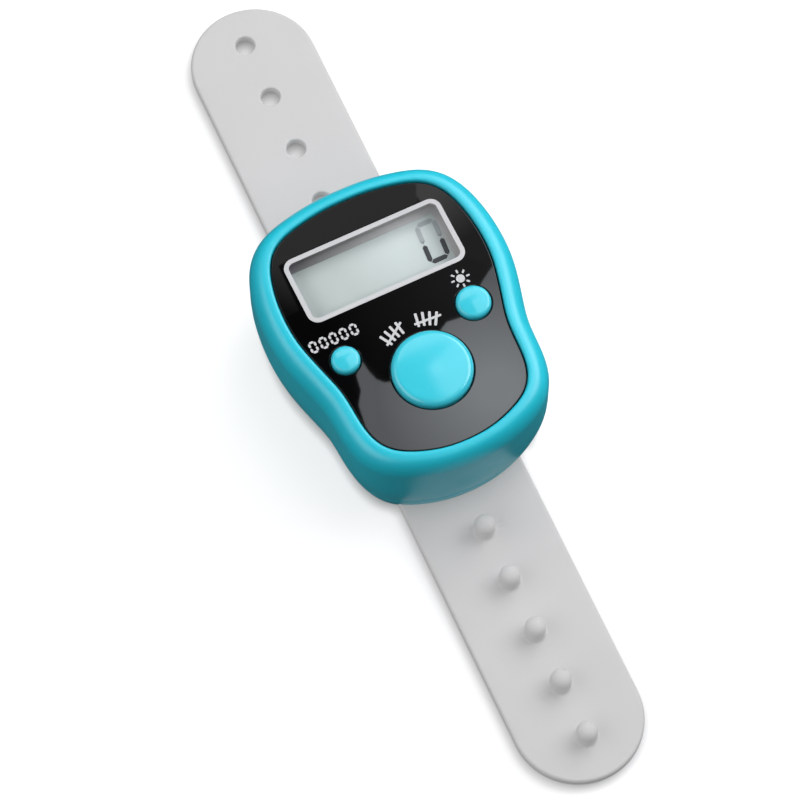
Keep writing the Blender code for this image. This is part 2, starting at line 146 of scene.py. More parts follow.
# Marks over the buttons
ZERO_COUNT = 5
ZERO_PITCH = 1.24
ZERO_SIZE = (0.94, 1.5)
ZERO_STROKE = 0.27
ZERO_SHIFT = Vector((-0.05, 3.0))
TALLY_RING = (5.35, 7.1)  # inner and outer radius of the strokes round the count button
TALLY_TURN = 6.6          # degrees between strokes
TALLY_GROUP_TURN = 20.0   # degrees from straight up to the middle of a group
TALLY_CROSS_TURN = 14.5   # degrees from a group's middle to the ends of its fifth stroke
TALLY_STROKE = 0.31
TALLY_CROSS_STROKE = 0.27
SUN_RADIUS = 0.5
SUN_RAYS = (0.7, 1.15)
SUN_STROKE = 0.22
SUN_SHIFT = Vector((0.0, 3.3))

# Strap
STRAP_EDGE = 0.38
EDGE_STEPS = 6
TIP_STEPS = 36
HOLE_RADIUS = 1.15
HOLE_LIP = 0.2
STUD_RADIUS = 1.2
STUD_HEIGHT = 2.6
STUD_DOME = 0.85
STUD_FOOT = 0.3
BEND_REACH = 1.9          # half length of the stretch over a joint
TIP_REACH = 0.85          # the same on the tip's side of the last joint

# Light cards. An edge that shows in the glossy face is given by the face's own points.
CARD_Z = 415.0            # height of the overhead cards above the floor
SIDE_Z = 200.0            # height of the cards at the sides
KEY_EDGE = ((-9.6, -12.0), (-9.6, -7.7), (-9.2, -5.2), (-8.2, -3.7), (-7.9, -1.9), (-6.6, -0.4),
            (-6.4, -2.0), (-6.1, -3.2), (-5.4, -4.0), (-4.6, -4.2), (0.0, -2.6), (4.0, -0.4),
            (5.6, -0.6), (10.6, 2.9), (12.5, 4.0))
TOP_EDGE = ((-13.0, 8.0), (-10.2, 8.0), (-10.0, 14.0), (7.5, 14.2), (7.8, 15.3), (8.3, 16.2))
TOP_END_Y = 230.0         # where the cards over the top of the face end
CORNER_EDGE = ((7.9, 15.5), (9.0, 9.0), (9.8, 6.0), (12.5, 3.0))
FLOOR_GLOW = (0.1, 0.62)  # painted shadow under the strap's edges, and full glow in the open
FLOOR_SHADE_REACH = 1.6
WORLD_GREY = 0.07


# ---------------------------------------------------------------- places from the frame

def node_box(node):
    """Lowest and highest corner of a CAD node, in millimetres."""
    low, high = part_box(node)
    return Vector(low) / MM, Vector(high) / MM


def node_centre(node):
    low, high = node_box(node)
    return (low + high) / 2


def node_size(node):
    low, high = node_box(node)
    return high - low


SHELL_LOW, SHELL_HIGH = node_box("front_shell")
PANEL_LOW, PANEL_HIGH = node_box("face_panel")
WINDOW_LOW, WINDOW_HIGH = node_box("display_window")
LCD_LOW, LCD_HIGH = node_box("lcd_front_glass")
WINDOW_CENTRE = node_centre("display_window")
BUTTONS = {name: node_centre(f"{name}_button") for name in ("count", "reset", "light")}
CASE_SCREWS = [node_centre(f"case_screw_{i}") for i in range(1, 5)]
CELL_CENTRE = node_centre("button_cell_upper")
JOINTS = {joint["name"]: Vector(joint["pos_m"]) / MM
          for joint in frame["joints"] if "pos_m" in joint}


def cap_radius(name):
    return node_size(f"{name}_button").x / 2 - FLANGE_WIDTH


def strap_place():
    """The strap's own axes in the row frame: it lies a little askew under the case."""
    far, near = JOINTS["upper_bend_4"], JOINTS["lower_bend_5"]
    skew = math.atan2(far.x - near.x, far.y - near.y)
    middle_x = near.x - near.y * math.tan(skew)
    return Matrix.Translation((middle_x, 0.0, 0.0)) @ Matrix.Rotation(-skew, 4, "Z")


STRAP_PLACE = strap_place()


def strap_box(node):
    """A strap node's lowest and highest corner, measured along the strap's own axes."""
    back = STRAP_PLACE.inverted()
    points = np.array([back @ (v.co / MM) for v in frame["nodes"][node].data.vertices])
    return Vector(points.min(axis=0)), Vector(points.max(axis=0))


STRAP_LOW, STRAP_HIGH = strap_box("strap_middle")
STRAP_HALF = (STRAP_HIGH.x - STRAP_LOW.x) / 2


# ---------------------------------------------------------------- mesh helpers

def object_from(name, mesh):
    """An object from a bmesh in millimetres, which it uses up."""
    bmesh.ops.recalc_face_normals(mesh, faces=mesh.faces)
    bmesh.ops.scale(mesh, vec=(MM, MM, MM), verts=mesh.verts)
    data = bpy.data.meshes.new(name)
    mesh.to_mesh(data)
    mesh.free()
    made = bpy.data.objects.new(name, data)
    bpy.context.scene.collection.objects.link(made)
    return made


def loft(rings, caps=True):
    """A bmesh through rings of equal point count, closed at both ends unless caps is off;
    each ring is a list of (x, y, z)."""
    mesh = bmesh.new()
    levels = [[mesh.verts.new(p) for p in ring] for ring in rings]
    count = len(levels[0])
    for lower, upper in zip(levels, levels[1:]):
        for i in range(count):
            j = (i + 1) % count
            mesh.faces.new((lower[i], lower[j], upper[j], upper[i]))
    if caps:
        mesh.faces.new(list(reversed(levels[0])))
        mesh.faces.new(levels[-1])
    return mesh


def turned_mesh(profile, centre, steps=TURN_STEPS):
    """A solid of revolution about a vertical axis; the profile is (radius, z) off the axis."""
    rings = []
    for radius, z in profile:
        rings.append([(centre[0] + radius * math.cos(a), centre[1] + radius * math.sin(a), z)
                      for a in np.arange(steps) * 2 * math.pi / steps])
    return loft(rings)


def rounded_rectangle(size, radius, steps):
    """Points round a rectangle with round corners, about its own middle."""
    ring = []
    for corner, (sx, sy) in enumerate(((1, 1), (-1, 1), (-1, -1), (1, -1))):
        for step in range(steps + 1):
            angle = math.radians(90.0) * (corner + step / steps)
            ring.append((sx * (size[0] / 2 - radius) + radius * math.cos(angle),
                         sy * (size[1] / 2 - radius) + radius * math.sin(angle)))
    return ring


def grown(size, corner, gap):
    """A rounded rectangle, as size and corner radius, with a gap added all round."""
    return (size[0] + 2 * gap, size[1] + 2 * gap), corner + gap


def rounded_prism(levels, centre, steps=10, caps=True):
    """A solid through rounded rectangles; each level is (size, corner radius, z)."""
    rings = []
    for size, radius, z in levels:
        ring = rounded_rectangle(size, radius, steps)
        rings.append([(x + centre[0], y + centre[1], z) for x, y in ring])
    return loft(rings, caps)


def arc(centre, radius, start, end, steps):
    """Points of an arc as (offset, height), angles in degrees; radius may be a pair."""
    across, up = radius if isinstance(radius, tuple) else (radius, radius)
    angles = np.radians(np.linspace(start, end, steps + 1))
    return [(centre[0] + across * math.cos(a), centre[1] + up * math.sin(a)) for a in angles]


def take_result(target):
    """Keeps the result of an object's modifiers as its own mesh."""
    depsgraph = bpy.context.evaluated_depsgraph_get()
    result = bpy.data.meshes.new_from_object(target.evaluated_get(depsgraph))
    target.modifiers.clear()
    target.data = result


def apply_boolean(target, tool_mesh, operation="DIFFERENCE"):
    """Cuts an object with a bmesh, or joins the two."""
    tool = object_from("tool", tool_mesh)
    step = target.modifiers.new("tool", "BOOLEAN")
    step.operation = operation
    step.solver = "EXACT"
    step.object = tool
    take_result(target)
    bpy.data.objects.remove(tool)


def bore(target, place, radius, z_range, steps=32):
    """Cuts an upright round hole."""
    apply_boolean(target, turned_mesh([(radius, z) for z in z_range], place, steps))


def post(target, place, radius, z_range, steps=48):
    """Adds an upright round post."""
    apply_boolean(target, turned_mesh([(radius, z) for z in z_range], place, steps), "UNION")


def block(low, high, bevel=0.0):
    """A bmesh box between two corners, with its edges rounded off."""
    mesh = bmesh.new()
    bmesh.ops.create_cube(mesh, size=1.0)
    low, high = Vector(low), Vector(high)
    bmesh.ops.scale(mesh, vec=high - low, verts=mesh.verts)
    bmesh.ops.translate(mesh, vec=(low + high) / 2, verts=mesh.verts)
    if bevel:
        bmesh.ops.bevel(mesh, geom=mesh.edges[:], offset=bevel, segments=3, profile=0.5, affect="EDGES")
    return mesh


def finish_piece(piece, body, finish, nodes=(), sharp=35.0, weighted=True):
    """Gives a piece its shading, its material and its body, and hides the CAD nodes it stands for."""
    piece.data.materials.clear()
    piece.data.materials.append(finish)
    piece.data.shade_smooth()
    piece.data.set_sharp_from_angle(angle=math.radians(sharp))
    if weighted:
        step = piece.modifiers.new("flat_faces_lead", "WEIGHTED_NORMAL")
        step.weight = 90
        step.keep_sharp = True
        take_result(piece)
    if body:
        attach(piece, body)
    if nodes:
        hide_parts(*nodes)


# ---------------------------------------------------------------- case outline

MIDDLE = complex((SHELL_LOW.x + SHELL_HIGH.x) / 2, (SHELL_LOW.y + SHELL_HIGH.y) / 2)
WAVES = np.arange(-16, 17)


def read_curve(node):
    """The widest ring of a CAD node as a smooth curve: distance from MIDDLE against direction."""
    points = np.array([v.co for v in frame["nodes"][node].data.vertices]) / MM
    height = points[points[:, 0] > points[:, 0].max() - 0.001, 2].max()
    ring = points[np.abs(points[:, 2] - height) < 0.01]
    place = np.unique(np.round(ring[:, 0] + 1j * ring[:, 1], 4)) - MIDDLE
    return np.linalg.lstsq(np.exp(1j * np.outer(np.angle(place), WAVES)), np.abs(place), rcond=None)[0]


CASE_CURVE = read_curve("front_shell")
PANEL_CURVE = read_curve("face_panel")


def outline(offset, z):
    """A ring at height z: offset 0 is the case outline and -RIM_WIDTH the face panel's."""
    turn = np.arange(RING_STEPS) / RING_STEPS * 2 * math.pi
    inner, outer = (np.exp(1j * np.outer(turn, WAVES)) @ curve for curve in (PANEL_CURVE, CASE_CURVE))
    reach = inner + (outer - inner) * (RIM_WIDTH + offset) / RIM_WIDTH
    place = MIDDLE + reach.real * np.exp(1j * turn)
    return [(float(p.real), float(p.imag), z) for p in place]


def outline_mesh(levels):
    return loft([outline(offset, z) for offset, z in levels])


# ---------------------------------------------------------------- materials

def shader_of(name):
    made = bpy.data.materials.new(name)
    made.use_nodes = True
    return made, made.node_tree, made.node_tree.nodes["Principled BSDF"]


def noise(tree, scale, detail=3.0):
    """Noise in the object's own space, so it is continuous over pieces that meet."""
    place = tree.nodes.new("ShaderNodeTexCoord")
    texture = tree.nodes.new("ShaderNodeTexNoise")
    texture.inputs["Scale"].default_value = scale
    texture.inputs["Detail"].default_value = detail
    tree.links.new(place.outputs["Object"], texture.inputs["Vector"])
    return texture.outputs["Fac"]


def span(tree, value, low, high, start=0.3, end=0.7):
    """Maps a value from start..end to low..high."""
    step = tree.nodes.new("ShaderNodeMapRange")
    step.inputs["From Min"].default_value = start
    step.inputs["From Max"].default_value = end
    step.inputs["To Min"].default_value = low
    step.inputs["To Max"].default_value = high
    tree.links.new(value, step.inputs["Value"])
    return step.outputs["Result"]


def blend_colours(tree, value, first, second):
    step = tree.nodes.new("ShaderNodeMix")
    step.data_type = "RGBA"
    step.inputs["A"].default_value = (*first, 1.0)
    step.inputs["B"].default_value = (*second, 1.0)
    tree.links.new(value, step.inputs["Factor"])
    return step.outputs["Result"]


def along(tree, axis, start, end):
    """0 to 1 between two places, in millimetres, on an axis of the object's own space."""
    place = tree.nodes.new("ShaderNodeTexCoord")
    parts = tree.nodes.new("ShaderNodeSeparateXYZ")
    tree.links.new(place.outputs["Object"], parts.inputs["Vector"])
    return span(tree, parts.outputs[axis], 0.0, 1.0, start * MM, end * MM)


def distance_from(tree, point):
    """Distance in the object's own space from a point given in millimetres."""
    place = tree.nodes.new("ShaderNodeTexCoord")
    away = tree.nodes.new("ShaderNodeVectorMath")
    away.operation = "DISTANCE"
    away.inputs[1].default_value = [value * MM for value in point]
    tree.links.new(place.outputs["Object"], away.inputs[0])
    return away.outputs["Value"]


def add_bump(tree, shader, value, distance):
    bump = tree.nodes.new("ShaderNodeBump")
    bump.inputs["Distance"].default_value = distance * MM
    tree.links.new(value, bump.inputs["Height"])
    tree.links.new(bump.outputs["Normal"], shader.inputs["Normal"])


def moulded(name, colour, shade, roughness, grain, scale, **sockets):
    """A moulded or cast surface: cloudy colour, uneven gloss and a fine grain. Other sockets
    are given by name, with _ for a space."""
    made, tree, shader = shader_of(name)
    cloud = noise(tree, 90.0)
    tree.links.new(blend_colours(tree, span(tree, cloud, 0.0, 1.0), colour, shade),
                   shader.inputs["Base Color"])
    tree.links.new(span(tree, noise(tree, 260.0, 5.0), roughness * 0.9, roughness * 1.15),
                   shader.inputs["Roughness"])
    add_bump(tree, shader, noise(tree, scale, 2.0), grain)
    for socket, value in sockets.items():
        shader.inputs[socket.replace("_", " ")].default_value = value
    return made


def segment_ink_painted_fade():
    """Display segments, dark at the foot of the digit, with a painted fade: paler towards its top,
    standing in for how light and viewing angle wash out the upper segments.
    """
    made, tree, shader = shader_of("lcd_segment")
    # painted fade: the upper segments are paler, for light and viewing angle, not ink
    fade = along(tree, "Y", WINDOW_CENTRE.y - 0.3, WINDOW_CENTRE.y + 0.6)
    tree.links.new(blend_colours(tree, fade, (0.02, 0.022, 0.03), (0.38, 0.42, 0.44)),
                   shader.inputs["Base Color"])
    tree.links.new(span(tree, noise(tree, 900.0), 0.35, 0.5), shader.inputs["Roughness"])
    return made


def display_glass():
    """The display's polariser, with a painted reflection: a little paler in a soft spot towards its
    right.
    """
    made, tree, shader = shader_of("lcd_polariser")
    painted_reflection_centre = (WINDOW_CENTRE.x + 4.0, WINDOW_CENTRE.y + 2.2, LCD_HIGH.z)
    # painted reflection: the colour is paler near this spot
    near = span(tree, distance_from(tree, painted_reflection_centre), 1.0, 0.0, 0.5 * MM, 8.0 * MM)
    tree.links.new(blend_colours(tree, near, (0.51, 0.575, 0.56), (0.63, 0.70, 0.70)),
                   shader.inputs["Base Color"])
    tree.links.new(span(tree, noise(tree, 500.0), 0.28, 0.36), shader.inputs["Roughness"])
    return made


def display_mask():
    """Grey round the display, with painted shade: darker towards its left end."""
    made, tree, shader = shader_of("display_mask")
    # painted shade: the grey darkens towards the left
    fade = along(tree, "X", -7.0, 4.0)
    tree.links.new(blend_colours(tree, fade, (0.24, 0.24, 0.25), (0.58, 0.58, 0.59)),
                   shader.inputs["Base Color"])
    tree.links.new(span(tree, noise(tree, 900.0), 0.3, 0.4), shader.inputs["Roughness"])
    return made


def make_materials():
    """The looks by name. A moulded one is given by its name, colour, second colour, roughness,
    depth of grain in millimetres and scale of grain."""
    teal, teal_shade = (0.013, 0.46, 0.58), (0.012, 0.445, 0.56)
    return {
        "teal": moulded("teal_shell", teal, teal_shade, 0.36, 0.0002, 1400.0),
        # the caps are a lighter copy of the shell's teal: painted sheen
        "button": moulded("teal_cap_painted_sheen", (0.04, 0.49, 0.605), (0.038, 0.475, 0.585), 0.15, 0.0002, 1400.0),
        "panel": moulded("gloss_black", (0.0012, 0.0012, 0.0014), (0.0022, 0.0022, 0.0024), 0.014,
                         0.0001, 300.0),
        "mask": display_mask(),
        "window": moulded("clear_lens", (0.05, 0.055, 0.055), (0.04, 0.045, 0.045), 0.03, 0.0002, 300.0,
                          Alpha=0.08),
        "lcd": display_glass(),
        "ink": moulded("light_ink", (0.46, 0.46, 0.47), (0.42, 0.42, 0.43), 0.4, 0.002, 2500.0),
        # the silicone's glow is painted light, standing in for light passing through the strap
        "silicone": moulded("grey_silicone", (0.316, 0.31, 0.311), (0.303, 0.297, 0.299), 0.6, 0.004,
                            700.0, Specular_IOR_Level=0.25, Emission_Color=(1.0, 1.0, 1.0, 1.0),
                            Emission_Strength=0.2),
        "steel": moulded("plated_steel", (0.62, 0.62, 0.63), (0.54, 0.54, 0.55), 0.28, 0.002, 1500.0,
                         Metallic=1.0),
        "cell": moulded("cell_can", (0.66, 0.66, 0.67), (0.58, 0.58, 0.59), 0.22, 0.001, 2500.0,
                        Metallic=1.0),
        "nickel": moulded("contact_nickel", (0.66, 0.62, 0.54), (0.58, 0.54, 0.46), 0.3, 0.002, 1800.0,
                          Metallic=1.0),
        "board": moulded("solder_mask", (0.012, 0.13, 0.045), (0.008, 0.09, 0.03), 0.3, 0.004, 1200.0),
        "resin": moulded("black_resin", (0.02, 0.02, 0.022), (0.012, 0.012, 0.013), 0.5, 0.01, 1500.0),
        "ceramic": moulded("tan_ceramic", (0.45, 0.30, 0.16), (0.36, 0.24, 0.13), 0.45, 0.004, 2200.0),
        "nylon": moulded("white_nylon", (0.78, 0.78, 0.75), (0.7, 0.7, 0.68), 0.4, 0.004, 1500.0),
        "diffuser": moulded("milky_diffuser", (0.80, 0.82, 0.82), (0.74, 0.76, 0.76), 0.3, 0.001, 1200.0),
        "led": moulded("led_resin", (0.80, 0.72, 0.30), (0.74, 0.66, 0.26), 0.2, 0.001, 1500.0),
        "zebra": moulded("zebra_rubber", (0.10, 0.03, 0.03), (0.05, 0.02, 0.02), 0.55, 0.01, 2000.0),
        "segment": segment_ink_painted_fade(),
    }


# ---------------------------------------------------------------- case

def make_front_shell(look):
    """Outer wall, rounded rim, recess for the face, deck with its openings, and screw bosses."""
    low_z, recess_z, edge = SHELL_LOW.z, PANEL_LOW.z - PANEL_GAP, 0.1
    deck_z = recess_z - DECK_THICK
    levels = [(-1.0, low_z), (-DRAW_IN - edge, low_z)]
    foot_z = low_z + edge
    levels += [(-DRAW_IN * ((UPRIGHT_Z - z) / (UPRIGHT_Z - foot_z)) ** 2, z)
               for z in (foot_z, 5.3, 6.1, 7.0, 8.0, UPRIGHT_Z)]
    levels += [(0.0, 11.2)]
    levels += arc((-RIM_TURN, SHOULDER_Z), (RIM_TURN, CASE_TOP_Z - SHOULDER_Z), 0, 90, 18)
    levels += arc((RIM_ROUND - RECESS_WIDTH, CASE_TOP_Z - RIM_ROUND), RIM_ROUND, 90, 180, 7)
    levels += [(-RECESS_WIDTH, recess_z)]
    shell = object_from("case_front", outline_mesh(levels))
    apply_boolean(shell, outline_mesh([(-SHELL_WALL, low_z - THROUGH), (-SHELL_WALL, deck_z)]))
    for place in CASE_SCREWS:
        post(shell, place, BOSS_RADIUS, (foot_z, deck_z + DECK_THICK / 3))
        bore(shell, place, BOSS_BORE, (low_z - THROUGH / 2, BOSS_BORE_TOP_Z))
    through_deck = (deck_z - THROUGH, recess_z + THROUGH)
    for name, place in BUTTONS.items():
        bore(shell, place, cap_radius(name) + BUTTON_GAP, through_deck, TURN_STEPS)
    size = node_size("lcd_front_glass")
    opening = ((size.x + 0.5, size.y + 0.4), 0.6)
    place = node_centre("lcd_front_glass")
    apply_boolean(shell, rounded_prism([(*opening, z) for z in through_deck], place))
    finish_piece(shell, "case", look["teal"], ["front_shell"])


def strap_channel():
    """The tool for the strap's channel, which flares out at the bottom of the cover."""
    flare, reach = CHANNEL_FLARE, SHELL_HIGH.y - SHELL_LOW.y
    half = [(CHANNEL_HALF, CHANNEL_Z), (CHANNEL_HALF, flare), (CHANNEL_HALF + flare, 0.0),
            (CHANNEL_HALF + 3 * flare, -2 * flare)]
    ring = half + [(-x, z) for x, z in reversed(half)]
    return loft([[(x, y, z) for x, z in ring] for y in (-reach, reach)])


def make_back_cover(look):
    """Rounded foot, strap channel with two bars, cell well, screw bores and the lip."""
    levels = [(-3.4, 0.0)] + arc((-2.7, 1.6), (1.52, 1.6), 270, 345, 10)
    levels += [(-1.0, 2.0), (-0.8, 2.8), (-0.63, 3.6), (-0.52, PARTING_Z - 0.1), (-0.6, PARTING_Z)]
    cover = object_from("case_back", outline_mesh(levels + [(-1.0, PARTING_Z)]))
    lip, pocket, above_lip = -SHELL_WALL - LIP_GAP, -SHELL_WALL - LIP_REACH, LIP_TOP_Z + 0.4
    lip_levels = [(lip, PARTING_Z - OVERLAP), (lip, LIP_TOP_Z - 0.1), (lip - 0.1, LIP_TOP_Z)]
    apply_boolean(cover, outline_mesh(lip_levels), "UNION")
    apply_boolean(cover, outline_mesh([(pocket, BACK_PLATE_Z), (pocket, above_lip)]))
    cell_radius = node_size("button_cell_upper").x / 2
    well = (BACK_PLATE_Z - OVERLAP, WELL_TOP_Z)
    post(cover, CELL_CENTRE, cell_radius + WELL_WALL, well, TURN_STEPS)
    apply_boolean(cover, strap_channel())
    reach = CHANNEL_HALF + BAR_ROOT
    for y in BAR_Y:
        ends = (-reach, y - BAR_HALF_LENGTH, 0.0), (reach, y + BAR_HALF_LENGTH, BAR_TOP_Z)
        apply_boolean(cover, block(*ends, BAR_BEVEL), "UNION")
    recess = grown(node_size("battery_cover"), LID_CORNER, LID_GAP)
    lid_room = (ROOF_CUT_Z, node_box("battery_cover")[1].z + 0.1)
    apply_boolean(cover, rounded_prism([(*recess, z) for z in lid_room], node_centre("battery_cover")))
    cell_room = (ROOF_CUT_Z, WELL_TOP_Z + THROUGH)
    bore(cover, CELL_CENTRE, cell_radius + CELL_GAP, cell_room, TURN_STEPS)
    through_plate = (SEAT_Z - OVERLAP, BACK_PLATE_Z + THROUGH)
    bore(cover, node_centre("battery_cover_screw"), LID_SCREW_HOLE, through_plate)
    for place in CASE_SCREWS:
        bore(cover, place, SCREW_HOLE, through_plate)
        bore(cover, place, SCREW_HEAD_HOLE, (ROOF_CUT_Z, SEAT_Z))
        bore(cover, place, BOSS_RADIUS + BOSS_GAP, (PARTING_Z - 0.1, above_lip))
    for side in (-1, 1):
        inner, outer = sorted(side * x for x in HOLLOW_X)
        ends = (inner, HOLLOW_Y[0], HOLLOW_LOW_Z), (outer, HOLLOW_Y[1], BACK_PLATE_Z + THROUGH / 2)
        apply_boolean(cover, block(*ends))
    finish_piece(cover, "case", look["teal"], ["back_cover"])


# ---------------------------------------------------------------- face

def make_face_panel(look):
    """The glossy plate, softly rounded at its edge and at its button holes."""
    top, edge, rounding, lip = PANEL_HIGH.z, -RIM_WIDTH, 0.14, 0.12
    levels = [(edge, PANEL_LOW.z)] + arc((edge - rounding, top - rounding), rounding, 0, 90, 10)
    panel = object_from("face_plate", outline_mesh(levels))
    for name, place in BUTTONS.items():
        radius = cap_radius(name) + BUTTON_GAP
        profile = [(radius, PANEL_LOW.z - THROUGH), (radius, top - lip),
                   (radius + lip * 0.3, top - lip * 0.3), (radius + lip, top),
                   (radius + lip * 1.4, top + 0.4)]
        apply_boolean(panel, turned_mesh(profile, place))
    opening = grown(node_size("display_window"), WINDOW_CORNER, WINDOW_GAP)
    through = (PANEL_LOW.z - THROUGH, top + THROUGH)
    apply_boolean(panel, rounded_prism([(*opening, z) for z in through], WINDOW_CENTRE))
    finish_piece(panel, "case", look["panel"], ["face_panel"], 12.0)


def make_window(look):
    size, bevel = node_size("display_window"), 0.04
    levels = [(size, WINDOW_CORNER, WINDOW_LOW.z), (size, WINDOW_CORNER, WINDOW_HIGH.z - bevel),
              (*grown(size, WINDOW_CORNER, -bevel), WINDOW_HIGH.z)]
    lens = object_from("window_lens", rounded_prism(levels, WINDOW_CENTRE))
    finish_piece(lens, "case", look["window"], ["display_window"])


def ring_piece(name, inner, outer, z_range):
    """A closed frame; inner and outer are (size, corner radius)."""
    low, high = z_range
    levels = [(*inner, low), (*inner, high), (*outer, high), (*outer, low), (*inner, low)]
    mesh = rounded_prism(levels, WINDOW_CENTRE, caps=False)
    bmesh.ops.remove_doubles(mesh, verts=mesh.verts, dist=0.0001)
    return object_from(name, mesh)


def print_range(top):
    """Lowest and highest z of print on a surface at height top."""
    return top + PRINT_LIFT, top + PRINT_RISE


def make_window_frame(look):
    """The printed line round the window, and the grey mask round the display under the lens."""
    size = node_size("display_window")
    outer = (size.x + 2 * FRAME_REACH, size.y + 2 * FRAME_REACH), FRAME_CORNER
    line = ring_piece("window_frame_line", grown(*outer, -FRAME_LINE), outer, print_range(PANEL_HIGH.z))
    finish_piece(line, "case", look["ink"])
    foot, middle = LCD_HIGH.z + 0.02, WINDOW_CENTRE
    outer, inner = (grown(size, WINDOW_CORNER, gap) for gap in (MASK_OUTER, MASK_INNER))
    tray = rounded_prism([(*outer, foot), (*outer, PANEL_HIGH.z - 0.02)], middle)
    mask = object_from("display_mask", tray)
    apply_boolean(mask, rounded_prism([(*inner, foot + 0.1), (*inner, PANEL_HIGH.z + THROUGH)], middle))
    opening, through = (MASK_OPENING, 0.3), (foot - THROUGH, foot + THROUGH)
    place = (middle.x + MASK_SHIFT[0], middle.y + MASK_SHIFT[1])
    apply_boolean(mask, rounded_prism([(*opening, z) for z in through], place))
    finish_piece(mask, "case", look["mask"])


def make_lcd(look):
    size, bevel = node_size("lcd_front_glass"), 0.05
    levels = [(size, 0.15, LCD_LOW.z), (size, 0.15, LCD_HIGH.z - bevel),
              ((size.x - 2 * bevel, size.y - 2 * bevel), 0.12, LCD_HIGH.z)]
    glass = object_from("lcd_face", rounded_prism(levels, node_centre("lcd_front_glass"), 3))
    finish_piece(glass, "case", look["lcd"], ["lcd_front_glass"])


def bar(mesh, start, end, width, z_range, point=0.5):
    """A flat bar with pointed ends between two points, added to a bmesh."""
    start, end = Vector(start), Vector(end)
    heading = (end - start).normalized()
    side = Vector((-heading.y, heading.x)) * width / 2
    tip = heading * width * point
    ring = [start, start + tip - side, end - tip - side, end, end - tip + side, start + tip + side]
    verts = [[mesh.verts.new((p.x, p.y, z)) for p in ring] for z in z_range]
    mesh.faces.new(list(reversed(verts[0])))
    mesh.faces.new(verts[1])
    for i in range(6):
        j = (i + 1) % 6
        mesh.faces.new((verts[0][i], verts[0][j], verts[1][j], verts[1][i]))


def zero_bars(mesh, centre, size, width, z_range, slant=0.0):
    """The six bars of a seven-segment zero, clockwise from the top."""
    x, y, gap = size[0] / 2 - width / 2, size[1] / 2 - width / 2, width * 0.12
    corners = ((-x, y), (x, y), (x, 0), (x, -y), (-x, -y), (-x, 0), (-x, y))
    middle = Vector(centre)
    for bar_ends in zip(corners, corners[1:]):
        start, end = (Vector((px + py * slant, py)) for px, py in bar_ends)
        step = (end - start).normalized() * gap
        bar(mesh, middle + start + step, middle + end - step, width, z_range)


def make_digit(look):
    mesh = bmesh.new()
    place = (WINDOW_CENTRE.x + DIGIT_SHIFT[0], WINDOW_CENTRE.y + DIGIT_SHIFT[1])
    zero_bars(mesh, place, DIGIT_SIZE, DIGIT_STROKE, print_range(LCD_HIGH.z), DIGIT_SLANT)
    finish_piece(object_from("lcd_digit", mesh), "case", look["segment"])


def reset_marks(look, z):
    """A row of zeros over the reset button."""
    mesh, middle = bmesh.new(), BUTTONS["reset"].xy + ZERO_SHIFT
    for i in range(ZERO_COUNT):
        x = middle.x + (i - (ZERO_COUNT - 1) / 2) * ZERO_PITCH
        zero_bars(mesh, (x, middle.y), ZERO_SIZE, ZERO_STROKE, z)
    finish_piece(object_from("reset_marks", mesh), "case", look["ink"])


def way_at(degrees):
    return Vector((math.cos(math.radians(degrees)), math.sin(math.radians(degrees))))


def tally_marks(look, z):
    """Two groups of four strokes and a slanting fifth, on an arc over the count button."""
    mesh, middle = bmesh.new(), BUTTONS["count"].xy
    inner, outer = TALLY_RING
    above = (z[0] + 0.01, z[1] + 0.01)
    for group in (90.0 + TALLY_GROUP_TURN, 90.0 - TALLY_GROUP_TURN):
        for i in range(4):
            way = way_at(group + (i - 1.5) * TALLY_TURN)
            bar(mesh, middle + way * inner, middle + way * outer, TALLY_STROKE, z, 0.2)
        start = middle + way_at(group + TALLY_CROSS_TURN) * (inner + 0.45)
        end = middle + way_at(group - TALLY_CROSS_TURN) * (outer - 0.35)
        bar(mesh, start, end, TALLY_CROSS_STROKE, above, 0.2)
    finish_piece(object_from("tally_marks", mesh), "case", look["ink"])


def lamp_mark(look, z):
    """A small sun over the light button."""
    middle = BUTTONS["light"].xy + SUN_SHIFT
    mesh = turned_mesh([(SUN_RADIUS, height) for height in z], middle, 32)
    for degrees in range(0, 360, 45):
        inner, outer = (middle + way_at(degrees) * reach for reach in SUN_RAYS)
        bar(mesh, inner, outer, SUN_STROKE, z, 0.2)
    finish_piece(object_from("lamp_mark", mesh), "case", look["ink"])


def make_marks(look):
    z = print_range(PANEL_HIGH.z)
    reset_marks(look, z)
    tally_marks(look, z)
    lamp_mark(look, z)


def make_button(look, name):
    """A hollow cap with a flange under the deck. Its rounded edge turns until it runs on
    into the slope of the domed top."""
    low, high = node_box(f"{name}_button")
    radius, top, place = cap_radius(name), high.z, BUTTONS[name]
    edge, fall, dome = COUNT_TOP if name == "count" else SMALL_TOP
    flange_z = low.z + FLANGE_THICK
    profile = [(radius + FLANGE_WIDTH, low.z), (radius + FLANGE_WIDTH, flange_z), (radius, flange_z)]
    turn = math.atan2(fall * (radius - edge), 2 * edge * dome)
    edge_z = top - dome - fall * math.sin(turn)
    profile += arc((radius - edge, edge_z), (edge, fall), 0, math.degrees(turn), 12)
    inside = profile[-1][0]
    profile += [(inside * share, top - dome * share ** 2)
                for share in (0.9, 0.75, 0.6, 0.45, 0.3, 0.15, 0.02)]
    cap = object_from(f"{name}_cap", turned_mesh(profile, place))
    bore(cap, place, radius - CAP_WALL, (low.z - THROUGH / 2, low.z + CAP_HOLLOW), TURN_STEPS)
    post(cap, place, STEM_RADIUS, (low.z, low.z + STEM_LENGTH))
    finish_piece(cap, f"{name}_button", look["button"], [f"{name}_button"])


# ---------------------------------------------------------------- strap

def edge_profile():
    """Inset and height over the strap's rounded edge, from the flat underside to the flat top."""
    r, low, high = STRAP_EDGE, STRAP_LOW.z, STRAP_HIGH.z
    angles = np.radians(np.linspace(90, 0, EDGE_STEPS))
    lower = [(r - r * math.cos(a), low + r - r * math.sin(a)) for a in angles]
    upper = [(r - r * math.cos(a), high - r + r * math.sin(a)) for a in reversed(angles)]
    return lower + upper


